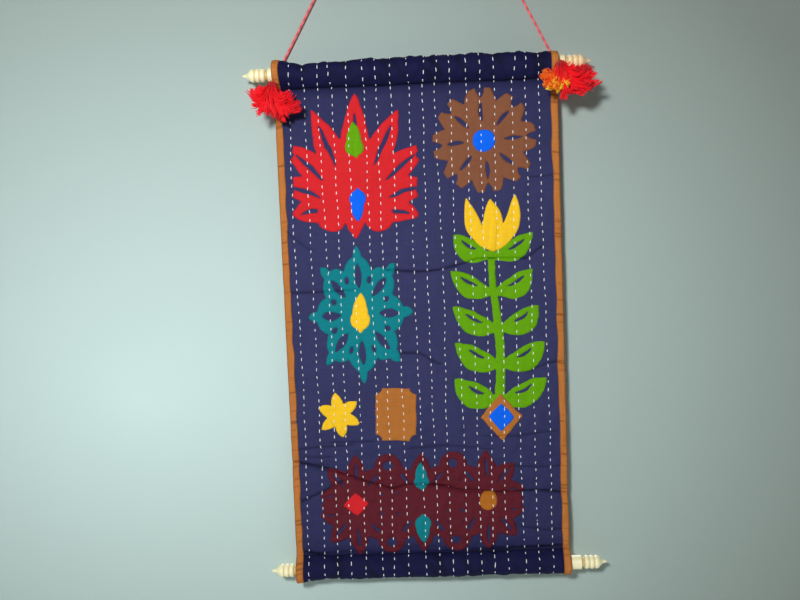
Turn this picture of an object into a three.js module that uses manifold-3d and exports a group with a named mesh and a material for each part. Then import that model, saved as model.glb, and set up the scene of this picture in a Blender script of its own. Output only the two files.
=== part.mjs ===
// Embroidered cotton wall hanging on two turned wooden rods, hung by a red cord.
// Millimetres, +Z up, the front faces -Y. The origin is the hang point, where the
// cord bears on the wall's nail.

import * as THREE from 'three';
import { mergeVertices } from 'three/addons/utils/BufferGeometryUtils.js';
import Module from 'manifold-3d';

const wasm = await Module();
wasm.setup();

// ---- driving dimensions ----

const HANG_DROP = 274.5;        // hang point down to the top rod's axis
const HANG_BEHIND = 15;         // hang point behind the rods' axes
const HANG_OFFSET = 9;          // hang point right of the cloth's middle
const ROD_SPACING = 538;        // between the axes of the two rods

const CLOTH_WIDTH = 297.2;      // navy panel, without the bindings
const CLOTH_THICK = 1.6;        // ground cloth, patches and stitching together
const CASING_NECK = 16;         // rod axis to the seam that closes a casing
const CASING_WALL = 2.6;        // cloth gathered at the foot of a casing's round

const BINDING_WIDTH = 7;        // each face of the strip
const BINDING_THICK = 0.9;
const GAP = 0.3;                // air between two pieces that touch

const ROD_RADIUS = 7.5;
const ROD_LENGTH = 368;
const ROD_SIDES = 18;
const TOP_ROD_SHIFT = 1;        // the rods sit a little off centre in their casings
const BOTTOM_ROD_SHIFT = 6;

const CORD_DIAMETER = 2.6;
const CORD_SIDES = 8;
const CORD_STEPS_PER_BEND = 2;  // between two neighbouring points of its route
const NAIL_RADIUS = 3;

// ---- cloth: one panel with a rod casing turned back at each end ----

// Along the width: how far each casing stands out beyond its rod's axis, and how far it
// bulges to the front and the back. The top casing's left mouth stands wider open.
const CASING_OUTLINE = [
  { x: -148, top: 13.9, topDepth: 13.9, bottom: 12.4, bottomDepth: 12.4 },
  { x: -136, top: 12.8, topDepth: 12.6, bottom: 11.4, bottomDepth: 12.0 },
  { x: -119, top: 9.5, topDepth: 11.8, bottom: 9.5, bottomDepth: 11.8 },
  { x: -92, top: 10.9, topDepth: 11.8, bottom: 10.6, bottomDepth: 11.8 },
  { x: -55, top: 11.2, topDepth: 12.0, bottom: 9.8, bottomDepth: 11.6 },
  { x: -12, top: 11.8, topDepth: 11.8, bottom: 10.6, bottomDepth: 11.8 },
  { x: 30, top: 12.6, topDepth: 11.6, bottom: 10.9, bottomDepth: 12.0 },
  { x: 75, top: 12.8, topDepth: 11.8, bottom: 10.0, bottomDepth: 11.8 },
  { x: 112, top: 11.0, topDepth: 11.6, bottom: 9.6, bottomDepth: 11.6 },
  { x: 136, top: 11.2, topDepth: 11.8, bottom: 10.8, bottomDepth: 11.8 },
  { x: 148, top: 10.8, topDepth: 11.8, bottom: 10.8, bottomDepth: 11.8 },
];

// Creases pressed into the panel: soft troughs that follow a line from side to side.
const CREASES = [
  {
    depth: 2.6,
    width: 9,
    line: [[-150, -418], [-90, -431], [-40, -449], [20, -449], [60, -456], [150, -461]],
  },
  { depth: 1.5, width: 8, line: [[-150, -231], [-70, -231], [-45, -222]] },
  { depth: 1.7, width: 8, line: [[-37, -211], [18, -213], [62, -202], [118, -203], [150, -190]] },
  { depth: 1.4, width: 8, line: [[80, -334], [112, -326], [150, -315]] },
  { depth: 1.6, width: 8, line: [[-150, -516], [-60, -522], [20, -522], [60, -518], [150, -516]] },
];

// Broad swells of the panel between its creases; a negative lift comes to the front.
const SWELLS = [
  { x: -70, z: -120, spanX: 90, spanZ: 70, lift: -1.6 },
  { x: 85, z: -110, spanX: 80, spanZ: 80, lift: 1.2 },
  { x: 30, z: -290, spanX: 120, spanZ: 70, lift: -1.8 },
  { x: -110, z: -350, spanX: 70, spanZ: 60, lift: 1.4 },
  { x: 20, z: -490, spanX: 130, spanZ: 26, lift: -3.0 },
  { x: 90, z: -400, spanX: 80, spanZ: 34, lift: -1.8 },
];

// Where the cloth is cut across, as parts of its half width, and down the panel's length.
const STATIONS = [-0.89, -0.8, -0.62, -0.46, -0.27, -0.08, 0.12, 0.31, 0.5, 0.64, 0.77, 0.89];
const PANEL_ROWS = [
  -16, -24, -50, -80, -112, -144, -172, -188, -200, -210, -220, -232, -246, -272, -300, -314,
  -328, -342, -366, -392, -410, -422, -434, -446, -456, -466, -480, -494, -506, -514, -522,
];
const CASING_ARC_STEPS = 14;
const CASING_ARC_LOW = -62;     // degrees below level at which a casing leaves its neck

// Value at x on a broken line of [x, value] points, level past its ends.
function onLine(line, x) {
  const last = line.length - 1;
  if (x <= line[0][0]) return line[0][1];
  if (x >= line[last][0]) return line[last][1];
  const i = line.findIndex((point) => point[0] > x);
  const [x0, v0] = line[i - 1];
  const [x1, v1] = line[i];
  return THREE.MathUtils.lerp(v0, v1, (x - x0) / (x1 - x0));
}

// How far the panel's middle plane stands behind the rods' axes at a place on it.
function panelOffset(x, z) {
  let y = 0;
  for (const { depth, width, line } of CREASES) {
    const start = line[0][0];
    const end = line[line.length - 1][0];
    const inside = THREE.MathUtils.smoothstep(x, start - 12, start + 4)
      * (1 - THREE.MathUtils.smoothstep(x, end - 4, end + 12));
    const across = (z - onLine(line, x)) / width;
    y += inside * depth * Math.exp(-across * across);
  }
  for (const { x: cx, z: cz, spanX, spanZ, lift } of SWELLS) {
    const u = (x - cx) / spanX;
    const v = (z - cz) / spanZ;
    y += lift * Math.exp(-u * u - v * v);
  }
  const nearTop = THREE.MathUtils.smoothstep(-z, CASING_NECK, CASING_NECK + 30);
  const nearBottom = THREE.MathUtils.smoothstep(z + ROD_SPACING, CASING_NECK, CASING_NECK + 14);
  return y * nearTop * nearBottom;
}

// One casing's round in the (y, z) plane, from the panel's front over the rod to its back.
// reach is how far the cloth stands beyond the rod's axis, away from the panel, and depth
// how far it bulges to either side of it.
function casingArc(reach, depth, inset) {
  const points = [];
  for (let i = 0; i <= CASING_ARC_STEPS; i += 1) {
    const degrees = THREE.MathUtils.lerp(CASING_ARC_LOW, 180 - CASING_ARC_LOW, i / CASING_ARC_STEPS);
    const angle = THREE.MathUtils.degToRad(degrees);
    const tall = angle > 0 && angle < Math.PI ? reach : depth + 1;
    points.push([-(depth - inset) * Math.cos(angle), (tall - inset) * Math.sin(angle)]);
  }
  return points;
}

// The cloth cut across at x: its outline and the two rod holes. grow fattens the cloth by
// the same amount everywhere, which gives the bindings their inner and outer skins.
function clothSection(x, grow) {
  const half = CLOTH_THICK / 2 + grow;
  const casing = (column) => onLine(CASING_OUTLINE.map((row) => [row.x, row[column]]), x);
  const topArc = (inset) => casingArc(casing('top'), casing('topDepth'), inset);
  const bottomArc = (inset) => casingArc(casing('bottom'), casing('bottomDepth'), inset);
  const atBottom = ([y, z]) => [-y, -ROD_SPACING - z];
  const front = PANEL_ROWS.map((z) => [panelOffset(x, z) - half, z]);
  const back = PANEL_ROWS.map((z) => [panelOffset(x, z) + half, z]);
  const outline = [
    ...topArc(-grow),
    ...back,
    ...bottomArc(-grow).map(atBottom),
    ...front.reverse(),
  ];
  const neck = [0, -(CASING_NECK - CASING_WALL - grow)];
  const inset = CLOTH_THICK + grow;
  const topHole = [...topArc(inset), neck];
  const bottomHole = [...bottomArc(inset), neck].map(atBottom);
  return { outline, holes: [topHole, bottomHole] };
}

// A solid whose section with holes changes along x; all sections have the same points.
function loftAlongX(stations, sectionAt) {
  const sections = stations.map(sectionAt);
  const rings = sections.map(({ outline, holes }) => [outline, ...holes.map((hole) => hole.toReversed())]);
  const positions = [];
  rings.forEach((loops, i) => {
    for (const [y, z] of loops.flat()) positions.push(stations[i], y, z);
  });
  const count = rings[0].flat().length;
  const index = [];
  for (let i = 0; i + 1 < stations.length; i += 1) {
    let first = 0;
    for (const loop of rings[0]) {
      for (let j = 0; j < loop.length; j += 1) {
        const a = i * count + first + j;
        const b = i * count + first + (j + 1) % loop.length;
        index.push(a, a + count, b, b, a + count, b + count);
      }
      first += loop.length;
    }
  }
  const end = (stations.length - 1) * count;
  const capOf = (loops) => {
    const [outline, ...holes] = loops.map((loop) => loop.map(([y, z]) => new THREE.Vector2(y, z)));
    return THREE.ShapeUtils.triangulateShape(outline, holes);
  };
  for (const [a, b, c] of capOf(rings[0])) index.push(a, c, b);
  for (const [a, b, c] of capOf(rings.at(-1))) index.push(end + a, end + b, end + c);
  const geometry = new THREE.BufferGeometry();
  geometry.setAttribute('position', new THREE.Float32BufferAttribute(positions, 3));
  geometry.setIndex(index);
  return geometry;
}

const CLOTH_EDGE = CLOTH_WIDTH / 2;
const BINDING_OUTER = CLOTH_EDGE + GAP + BINDING_THICK;
const BINDING_INNER = BINDING_OUTER - BINDING_WIDTH;

function clothGeometry() {
  const between = STATIONS.map((part) => part * CLOTH_EDGE);
  const stations = [-CLOTH_EDGE, -BINDING_INNER, ...between, BINDING_INNER, CLOTH_EDGE];
  return loftAlongX(stations, (x) => clothSection(x, 0));
}

// ---- bindings: a strip folded over each side edge, lining the casings' mouths ----

function toManifold(geometry) {
  const bare = geometry.clone();
  bare.deleteAttribute('normal');
  bare.deleteAttribute('uv');
  const merged = mergeVertices(bare, 1e-4);
  return new wasm.Manifold(new wasm.Mesh({
    numProp: 3,
    vertProperties: new Float32Array(merged.attributes.position.array),
    triVerts: new Uint32Array(merged.index.array),
  }));
}

function fromManifold(solid) {
  const mesh = solid.getMesh();
  const geometry = new THREE.BufferGeometry();
  geometry.setAttribute('position', new THREE.Float32BufferAttribute(mesh.vertProperties, 3));
  geometry.setIndex([...mesh.triVerts]);
  return geometry;
}

// The skin round the cloth's edge: a fattened end of the cloth less the cloth with its gap.
function bindingGeometry(side) {
  const along = (stations) => stations.map((x) => side * x).sort((a, b) => a - b);
  const nearEdge = (x) => side * THREE.MathUtils.clamp(Math.abs(x), BINDING_INNER, CLOTH_EDGE);
  const skin = loftAlongX(
    along([BINDING_INNER, CLOTH_EDGE, BINDING_OUTER]),
    (x) => clothSection(nearEdge(x), GAP + BINDING_THICK),
  );
  const core = loftAlongX(
    along([BINDING_INNER - 1, BINDING_INNER, CLOTH_EDGE, CLOTH_EDGE + GAP]),
    (x) => clothSection(nearEdge(x), GAP),
  );
  return fromManifold(toManifold(skin).subtract(toManifold(core)));
}

// ---- rods: each turned in one piece with a finial at either end ----

const FINIAL_PROFILE = [
  { fromTip: 0, radius: 0 },
  { fromTip: 0.6, radius: 0.8 },
  { fromTip: 2.6, radius: 1.5 },
  { fromTip: 4.8, radius: 2.2 },
  { fromTip: 6.4, radius: 3.6 },
  { fromTip: 8.6, radius: 5.7 },
  { fromTip: 10.2, radius: 6.8 },
  { fromTip: 11.8, radius: 7.2 },
  { fromTip: 13.2, radius: 6.8 },
  { fromTip: 14.2, radius: 6.1 },
  { fromTip: 15.4, radius: 6.9 },
  { fromTip: 17.0, radius: 7.3 },
  { fromTip: 18.6, radius: 6.8 },
  { fromTip: 19.6, radius: 6.2 },
  { fromTip: 20.8, radius: 7.0 },
  { fromTip: 22.4, radius: 7.3 },
  { fromTip: 24.0, radius: 6.8 },
  { fromTip: 25.4, radius: 5.6 },
  { fromTip: 27.4, radius: 5.5 },
  { fromTip: 28.4, radius: ROD_RADIUS },
];

function rodGeometry() {
  const half = ROD_LENGTH / 2;
  const left = FINIAL_PROFILE.map(({ fromTip, radius }) => new THREE.Vector2(radius, fromTip - half));
  const right = FINIAL_PROFILE.map(({ fromTip, radius }) => new THREE.Vector2(radius, half - fromTip));
  const geometry = new THREE.LatheGeometry([...left, ...right.reverse()], ROD_SIDES);
  return geometry.rotateZ(-Math.PI / 2);
}

// ---- hanger: one cord over the nail, each end hooked round the top rod ----

// Each end of the cord starts in its pompom, passes under the rod just outside the casing's
// mouth and climbs behind it. The tail runs from the pompom to the start of that turn, and
// the foot from its end round the mouth's rear rim to the straight leg. x grows outward here.
const CORD_ENDS = [
  {
    side: -1,
    tail: [
      { x: 152.6, y: -11.6, z: -14.6 },
      { x: 152.0, y: -10.8, z: -12.8 },
      { x: 151.8, y: -9.2, z: -11.4 },
      { x: 151.7, y: -6.6, z: -10.2 },
    ],
    foot: [
      { x: 153.2, y: 9.4, z: -5.6 },
      { x: 154.2, y: 13.4, z: -2.8 },
      { x: 152.8, y: 16.8, z: 0.4 },
      { x: 149.2, y: 17.5, z: 3.8 },
      { x: 145.4, y: 17.5, z: 9.4 },
      { x: 140.9, y: 17.4, z: 17.0 },
    ],
  },
  {
    side: 1,
    tail: [
      { x: 152.6, y: -15.6, z: -8.4 },
      { x: 151.8, y: -14.1, z: -7.2 },
      { x: 151.7, y: -11.6, z: -7.2 },
      { x: 151.7, y: -7.8, z: -8.6 },
    ],
    foot: [
      { x: 153.2, y: 9.2, z: -5.6 },
      { x: 154.2, y: 13.0, z: -2.6 },
      { x: 153.4, y: 15.8, z: 0.8 },
      { x: 150.8, y: 16.6, z: 4.8 },
      { x: 147.8, y: 16.8, z: 10.2 },
      { x: 144.4, y: 16.8, z: 17.0 },
    ],
  },
];
const CORD_TURN = ROD_RADIUS + CORD_DIAMETER / 2 + 1.8 * GAP;
const CORD_MOUTH = BINDING_OUTER + CORD_DIAMETER / 2 + 2 * GAP;
const CORD_TURN_STEPS = 4;
const TURN_START_DEGREES = -75; // nearly below the rod, at the front
const TURN_END_DEGREES = -125;

function cordEnd({ side, tail, foot }) {
  const points = tail.map(({ x, y, z }) => new THREE.Vector3(side * x, y, z));
  for (let i = 0; i <= CORD_TURN_STEPS; i += 1) {
    const degrees = THREE.MathUtils.lerp(TURN_START_DEGREES, TURN_END_DEGREES, i / CORD_TURN_STEPS);
    const angle = THREE.MathUtils.degToRad(degrees);
    points.push(new THREE.Vector3(
      side * CORD_MOUTH,
      -CORD_TURN * Math.cos(angle),
      CORD_TURN * Math.sin(angle),
    ));
  }
  for (const { x, y, z } of foot) points.push(new THREE.Vector3(side * x, y, z));
  return points;
}

// The bend over the nail, from the left leg to the right one.
function nailBend() {
  const radius = NAIL_RADIUS + CORD_DIAMETER / 2;
  const points = [];
  for (let degrees = 150; degrees >= 30; degrees -= 30) {
    const angle = THREE.MathUtils.degToRad(degrees);
    points.push(new THREE.Vector3(
      HANG_OFFSET + radius * Math.cos(angle),
      HANG_BEHIND,
      HANG_DROP - NAIL_RADIUS + radius * Math.sin(angle),
    ));
  }
  return points;
}

// A curve that is stepped point by point, so its bends get short steps and its legs long ones.
class SteppedCurve extends THREE.CatmullRomCurve3 {
  getPointAt(part, target) {
    return this.getPoint(part, target);
  }

  getTangentAt(part, target) {
    return this.getTangent(part, target);
  }
}

function cordGeometry() {
  const [left, right] = CORD_ENDS.map(cordEnd);
  const points = [...left, ...nailBend(), ...right.reverse()];
  const route = new SteppedCurve(points, false, 'centripetal');
  const outline = new THREE.Shape();
  for (let i = 0; i < CORD_SIDES; i += 1) {
    const angle = (i / CORD_SIDES) * 2 * Math.PI;
    const x = (CORD_DIAMETER / 2) * Math.cos(angle);
    const y = (CORD_DIAMETER / 2) * Math.sin(angle);
    if (i === 0) outline.moveTo(x, y);
    else outline.lineTo(x, y);
  }
  outline.closePath();
  const steps = CORD_STEPS_PER_BEND * (points.length - 1);
  return new THREE.ExtrudeGeometry(outline, { steps, extrudePath: route });
}

// ---- pompoms: tufts of yarn, each a rounded mass with the lobes that its strands fall into ----

// centre and radii give the mass, lobes its locks, and neck the lock that ends at the cord.
const POMPOMS = [
  {
    centre: [-157, -18, -29],
    radii: [17, 12, 14],
    neckSharpness: 9,
    lobes: [
      { towards: [-22, -1, 19], length: 12, sharpness: 9 },
      { towards: [30, -3, -9], length: 15, sharpness: 12 },
      { towards: [13, 2, -21], length: 9, sharpness: 9 },
      { towards: [-17, -4, -12], length: 4, sharpness: 8 },
    ],
  },
  {
    centre: [160, -28, -19],
    radii: [21, 13, 15],
    neckSharpness: 14,
    lobes: [
      { towards: [-30, -2, 0], length: 10, sharpness: 6 },
      { towards: [28, -2, 2], length: 8, sharpness: 6 },
      { towards: [-8, 2, -20], length: 6, sharpness: 9 },
      { towards: [20, 0, -14], length: 4, sharpness: 8 },
    ],
  },
];
const POMPOM_SLICES = 22;
const POMPOM_RINGS = 14;

// Distance from the mass's centre to its surface in one direction.
function pompomReach({ radii, lobes }, direction) {
  const [rx, ry, rz] = radii;
  let reach = 1 / Math.hypot(direction.x / rx, direction.y / ry, direction.z / rz);
  for (const { towards, length, sharpness } of lobes) {
    const facing = Math.max(0, direction.dot(new THREE.Vector3(...towards).normalize()));
    reach += length * facing ** sharpness;
  }
  return reach;
}

function pompomGeometry(pompom, { side, tail }) {
  const [end] = tail;
  const neck = new THREE.Vector3(side * end.x, end.y, end.z).sub(new THREE.Vector3(...pompom.centre));
  const toNeck = neck.clone().normalize();
  const neckLength = neck.length() - 2 * GAP - pompomReach(pompom, toNeck);
  const geometry = new THREE.SphereGeometry(1, POMPOM_SLICES, POMPOM_RINGS);
  geometry.applyQuaternion(new THREE.Quaternion().setFromUnitVectors(new THREE.Vector3(0, 1, 0), toNeck));
  const position = geometry.attributes.position;
  const direction = new THREE.Vector3();
  for (let i = 0; i < position.count; i += 1) {
    direction.fromBufferAttribute(position, i).normalize();
    const facing = Math.max(0, direction.dot(toNeck));
    const reach = pompomReach(pompom, direction) + neckLength * facing ** pompom.neckSharpness;
    direction.multiplyScalar(reach);
    position.setXYZ(i, direction.x, direction.y, direction.z);
  }
  return geometry;
}

// ---- the hanging put together ----

const navyCotton = new THREE.MeshStandardMaterial({ color: 0x26265a, roughness: 0.9, metalness: 0 });
const tanCotton = new THREE.MeshStandardMaterial({ color: 0xb47634, roughness: 0.85, metalness: 0 });
const creamWood = new THREE.MeshStandardMaterial({ color: 0xefe0b4, roughness: 0.45, metalness: 0 });
const redCord = new THREE.MeshStandardMaterial({ color: 0xd93040, roughness: 0.7, metalness: 0 });
const redYarn = new THREE.MeshStandardMaterial({ color: 0xe0121c, roughness: 0.95, metalness: 0 });

function piece(name, geometry, material, [x, y, z] = [0, 0, 0]) {
  const mesh = new THREE.Mesh(geometry, material);
  mesh.name = name;
  mesh.position.set(x, y, z);
  return mesh;
}

const hanging = new THREE.Group();
hanging.position.set(-HANG_OFFSET, -HANG_BEHIND, -HANG_DROP);
hanging.add(
  piece('cloth', clothGeometry(), navyCotton),
  piece('binding_left', bindingGeometry(-1), tanCotton),
  piece('binding_right', bindingGeometry(1), tanCotton),
  piece('rod_top', rodGeometry(), creamWood, [TOP_ROD_SHIFT, 0, 0]),
  piece('rod_bottom', rodGeometry(), creamWood, [BOTTOM_ROD_SHIFT, 0, -ROD_SPACING]),
  piece('hanger_cord', cordGeometry(), redCord),
  piece('pompom_left', pompomGeometry(POMPOMS[0], CORD_ENDS[0]), redYarn, POMPOMS[0].centre),
  piece('pompom_right', pompomGeometry(POMPOMS[1], CORD_ENDS[1]), redYarn, POMPOMS[1].centre),
);

const group = new THREE.Group();
group.add(hanging);

export default group;
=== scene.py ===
"""An embroidered cotton wall hanging: bright patches sewn on navy cloth, rows of white
running stitch through everything, tan bound sides, and a turned rod in each casing. A red
cord over a nail holds it up, with a yarn pompom at either end.

Lengths are in metres. Places on the hanging are given in its own frame: x across from the
middle of the cloth, z up from the top rod's axis, y back from the plane of the two rods."""

import bpy
import numpy as np
from mathutils import Matrix, Vector


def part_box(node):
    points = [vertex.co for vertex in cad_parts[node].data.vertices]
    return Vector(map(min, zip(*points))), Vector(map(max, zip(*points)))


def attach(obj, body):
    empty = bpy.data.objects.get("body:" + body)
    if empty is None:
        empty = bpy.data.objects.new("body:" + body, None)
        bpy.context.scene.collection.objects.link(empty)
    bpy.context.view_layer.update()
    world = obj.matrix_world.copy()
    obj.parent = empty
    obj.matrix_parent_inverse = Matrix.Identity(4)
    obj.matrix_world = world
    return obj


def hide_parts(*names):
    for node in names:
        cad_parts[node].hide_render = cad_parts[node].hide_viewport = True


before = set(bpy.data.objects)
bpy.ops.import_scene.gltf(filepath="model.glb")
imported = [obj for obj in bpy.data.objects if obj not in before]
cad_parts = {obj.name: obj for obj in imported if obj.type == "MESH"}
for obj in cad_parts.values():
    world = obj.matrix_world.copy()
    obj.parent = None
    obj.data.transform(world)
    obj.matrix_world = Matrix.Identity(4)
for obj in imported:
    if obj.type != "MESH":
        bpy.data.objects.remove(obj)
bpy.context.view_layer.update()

# ---- Ground cloth -------------------------------------------------------------------
# One length of navy plain-weave cotton. Its top and bottom ends are turned to the back
# round a rod and sewn down, which makes the two casings; the panel between has creases.

MM = 0.001
low, high = map(np.array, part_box("rod_top"))
ROD_Y, ROD_Z = (low[1:] + high[1:]) / 2
BINDING_LOW, BINDING_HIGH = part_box("binding_left")[0][0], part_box("binding_right")[1][0]
ORIGIN = np.array([(BINDING_LOW + BINDING_HIGH) / 2, ROD_Y, ROD_Z])
HALF_WIDTH = (BINDING_HIGH - BINDING_LOW) / 2
SPACING = ROD_Z - (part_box("rod_bottom")[0][2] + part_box("rod_bottom")[1][2]) / 2

CLOTH_THICK = 0.7 * MM
NECK = 16 * MM  # from a rod's axis to the seam that closes its casing
CASING_GIRTH = 74 * MM  # cloth that one casing takes up
HEM = 8 * MM  # turned end, sewn behind the panel
PANEL = SPACING - 2 * NECK
TAPER = 0.45  # how sharply a casing draws in to its seam
TAPER_FULL = 0.8736  # widest value of the drawn-in round, which scales it to full depth

# Across the cloth, in mm: how far each casing stands beyond its rod and bulges to the
# front and the back.
CASING_X = np.array([-148, -136, -119, -92, -55, -12, 30, 75, 112, 136, 148]) * MM
TOP_RISE = np.array([13.9, 12.8, 9.5, 10.9, 11.2, 11.8, 12.6, 12.8, 11.0, 11.2, 10.8]) * MM
TOP_DEPTH = np.array([13.9, 12.6, 11.8, 11.8, 12.0, 11.8, 11.6, 11.8, 11.6, 11.8, 11.8]) * MM
LOW_RISE = np.array([12.4, 11.4, 9.5, 10.6, 9.8, 10.6, 10.9, 10.0, 9.6, 10.8, 10.8]) * MM
LOW_DEPTH = np.array([12.4, 12.0, 11.8, 11.8, 11.6, 11.8, 12.0, 11.8, 11.6, 11.8, 11.8]) * MM

# Creases: depth and width in mm, and the line each follows as (x, z) points. The first
# five are the main folds; the thin ones were pressed in when it lay folded.
CREASES = [
    (2.6, 9, [(-150, -418), (-90, -431), (-40, -449), (20, -449), (60, -456), (150, -461)]),
    (1.5, 8, [(-150, -231), (-70, -231), (-45, -222)]),
    (1.7, 8, [(-37, -211), (18, -213), (62, -202), (118, -203), (150, -190)]),
    (1.4, 8, [(80, -334), (112, -326), (150, -315)]),
    (1.6, 8, [(-150, -516), (-60, -522), (20, -522), (60, -518), (150, -516)]),
    (3.4, 1.9, [(-146, -418), (-107, -428), (-66, -443), (-40, -451), (-24, -446), (21, -450)]),
    (3.0, 1.7, [(0, -447), (37, -455), (82, -458), (116, -457), (150, -461)]),
    (2.6, 1.9, [(-140, -461), (-127, -455), (-113, -449), (-94, -440)]),
    (1.7, 1.6, [(-145, -232), (-112, -232), (-70, -231)]),
    (2.4, 1.5, [(-37, -211), (-5, -214), (17, -213), (45, -207), (60, -202), (113, -204), (127, -193)]),
    (2.0, 1.5, [(-26, -301), (-5, -302), (14, -314)]),
    (1.8, 1.6, [(110, -326), (129, -319), (142, -316)]),
    (1.5, 1.5, [(-145, -165), (-134, -175), (-118, -187)]),
    (1.2, 1.5, [(-104, -397), (-62, -397)]),
    (1.3, 1.5, [(-136, -413), (-110, -413)]),
    (1.2, 1.5, [(118, -118), (140, -117)]),
    (3.4, 1.6, [(-139, -518), (-95, -526), (-37, -526), (18, -523), (57, -521), (140, -519)]),
    (1.3, 1.5, [(-146, -404), (-125, -402), (-84, -400)]),
    (1.4, 1.5, [(-134, -520), (-100, -519), (-76, -519)]),
    (1.2, 1.5, [(60, -394), (96, -396), (136, -391)]),
    (1.2, 1.5, [(84, -428), (118, -431), (146, -430)]),
    (1.4, 1.5, [(100, -496), (126, -501), (146, -500)]),
    (1.1, 1.5, [(-20, -406), (24, -404), (66, -409)]),
]

# Broad swells of the panel: middle, spans and lift to the back, all in mm.
SWELLS = [
    (-70, -120, 90, 70, -1.6),
    (85, -110, 80, 80, 1.2),
    (30, -290, 120, 70, -1.8),
    (-110, -350, 70, 60, 1.4),
    (20, -490, 130, 26, -3.0),
    (90, -400, 80, 34, -1.8),
]

ROWS = 18  # of running stitch
FIRST_ROW, LAST_ROW = -133.5 * MM, 130.5 * MM
ROW_STEP = (LAST_ROW - FIRST_ROW) / (ROWS - 1)
STITCH_STEP = 8.5 * MM


def smoothstep(value, start, end):
    """0 before start, 1 after end, and the cubic 3t^2 - 2t^3 between."""
    t = np.clip((value - start) / (end - start), 0, 1)
    return t * t * (3 - 2 * t)


def ripples(u, v, seed, step_u, step_v, count=9):
    """Smooth seeded unevenness near -1..1: a sum of sine waves whose lengths across and
    along are about step_u and step_v, each with its own phase and slant."""
    draw = np.random.default_rng(seed)
    total = np.zeros(np.broadcast(u, v).shape)
    for _ in range(count):
        turn_u, turn_v = draw.normal(0, 1, 2)
        total += np.sin(6.28 * (turn_u * u / step_u + turn_v * v / step_v) + draw.uniform(0, 6.28))
    return total / np.sqrt(count)


def row_x(row, v):
    """Where a row of stitching runs across the cloth at v: its even place plus a slow
    wander, and a closer one of its own near the casings."""
    draw = np.random.default_rng(11)
    shift, swing, phase, wave = draw.uniform(-1, 1, (4, ROWS))
    slow = 1.7 * MM * swing[row] * np.sin(v * (14 + 6 * wave[row]) + 6 * phase[row])
    quick = 0.45 * MM * np.sin(v * 95 + 9 * phase[row])
    slant = 3.0 * MM * swing[row] * smoothstep(-v, -5 * MM, 30 * MM)
    return FIRST_ROW + row * ROW_STEP + 1.7 * MM * shift[row] + slow + quick + slant


def crease_shade(x, z):
    """Painted shade at the bottom of a thin crease, 0..1: a bell across its line that grows with its depth
    and fades at the line's ends."""
    shade = np.zeros(np.broadcast(x, z).shape)
    for depth, width, line in CREASES:
        if width < 3:
            line_x, line_z = np.array(line).T * MM
            inside = smoothstep(x, line_x[0] - 6 * MM, line_x[0])
            inside = inside * smoothstep(-x, -line_x[-1] - 6 * MM, -line_x[-1])
            across = (z - np.interp(x, line_x, line_z)) / (0.6 * width * MM)
            shade += inside * min(1, depth / 2.4) * np.exp(-across * across)
    return np.clip(shade, 0, 1)


def panel_depth(x, z):
    """How far the panel stands behind the rods' plane: each crease is a bell-shaped trough
    across its line, fading at the line's ends, and each swell a round bell."""
    y = np.zeros(np.broadcast(x, z).shape)
    for depth, width, line in CREASES:
        line_x, line_z = np.array(line).T * MM
        inside = smoothstep(x, line_x[0] - 12 * MM, line_x[0] + 4 * MM)
        inside = inside * (1 - smoothstep(x, line_x[-1] - 4 * MM, line_x[-1] + 12 * MM))
        across = (z - np.interp(x, line_x, line_z)) / (width * MM)
        reach = (3 if width < 3 else 14) * MM
        near_bottom = smoothstep(z + SPACING, NECK, NECK + reach)
        y += inside * depth * MM * np.exp(-across * across) * near_bottom
    for middle_x, middle_z, span_x, span_z, lift in SWELLS:
        part_x, part_z = (x / MM - middle_x) / span_x, (z / MM - middle_z) / span_z
        near_bottom = smoothstep(z + SPACING, NECK, NECK + 14 * MM)
        y += lift * MM * np.exp(-part_x * part_x - part_z * part_z) * near_bottom
    return y * smoothstep(-z, NECK, NECK + 30 * MM)


def casing_round(part, rise, depth):
    """A casing's section at part 0..1 of its girth, from the front seam over the rod to the
    back one: a drop. y is depth times sine of the turn, drawn in to the seam by a power of
    the half turn's cosine, and z swings from the seam to the rise with its cosine."""
    turn = np.pi * (1 - 2 * np.clip(part, 0, 1))
    drawn = np.abs(np.cos(turn / 2)) ** TAPER / TAPER_FULL
    layer = 0.45 * MM * smoothstep(np.abs(turn) / np.pi, 0.2, 1) * np.sign(turn)
    y = -depth * np.sin(turn) * drawn - layer
    return y, (rise - NECK) / 2 + (rise + NECK) / 2 * np.cos(turn)


def smooth_cloth(x, v):
    """The cloth's middle surface without its fine puckers. v runs down the cloth from the
    top casing's front seam: below 0 it is in the top casing, past PANEL in the bottom one,
    and beyond a casing's girth in the hem behind the panel."""
    z = -NECK - np.clip(v, 0, PANEL)
    leave = 1 - smoothstep(v, 0, 25 * MM) * smoothstep(PANEL - v, 0, 25 * MM)
    y = panel_depth(x, z) - 0.45 * MM * leave
    bulge = [np.interp(x, CASING_X, column) for column in (TOP_RISE, TOP_DEPTH, LOW_RISE, LOW_DEPTH)]
    top_y, top_z = casing_round(-v / CASING_GIRTH, *bulge[:2])
    low_y, low_z = casing_round((v - PANEL) / CASING_GIRTH, *bulge[2:])
    top_hem = np.maximum(-v - CASING_GIRTH, 0)
    low_hem = np.maximum(v - PANEL - CASING_GIRTH, 0)
    hem_y = panel_depth(x, -NECK - top_hem) + panel_depth(x, NECK - SPACING + low_hem)
    in_hem = (top_hem > 0) | (low_hem > 0)
    y = np.where(v < 0, top_y, np.where(v > PANEL, low_y, y)) + np.where(in_hem, hem_y + 0.5 * MM, 0)
    z = np.where(v < 0, top_z - top_hem, np.where(v > PANEL, -SPACING - low_z + low_hem, z))
    return np.stack(np.broadcast_arrays(x, y, z), -1)


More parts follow.
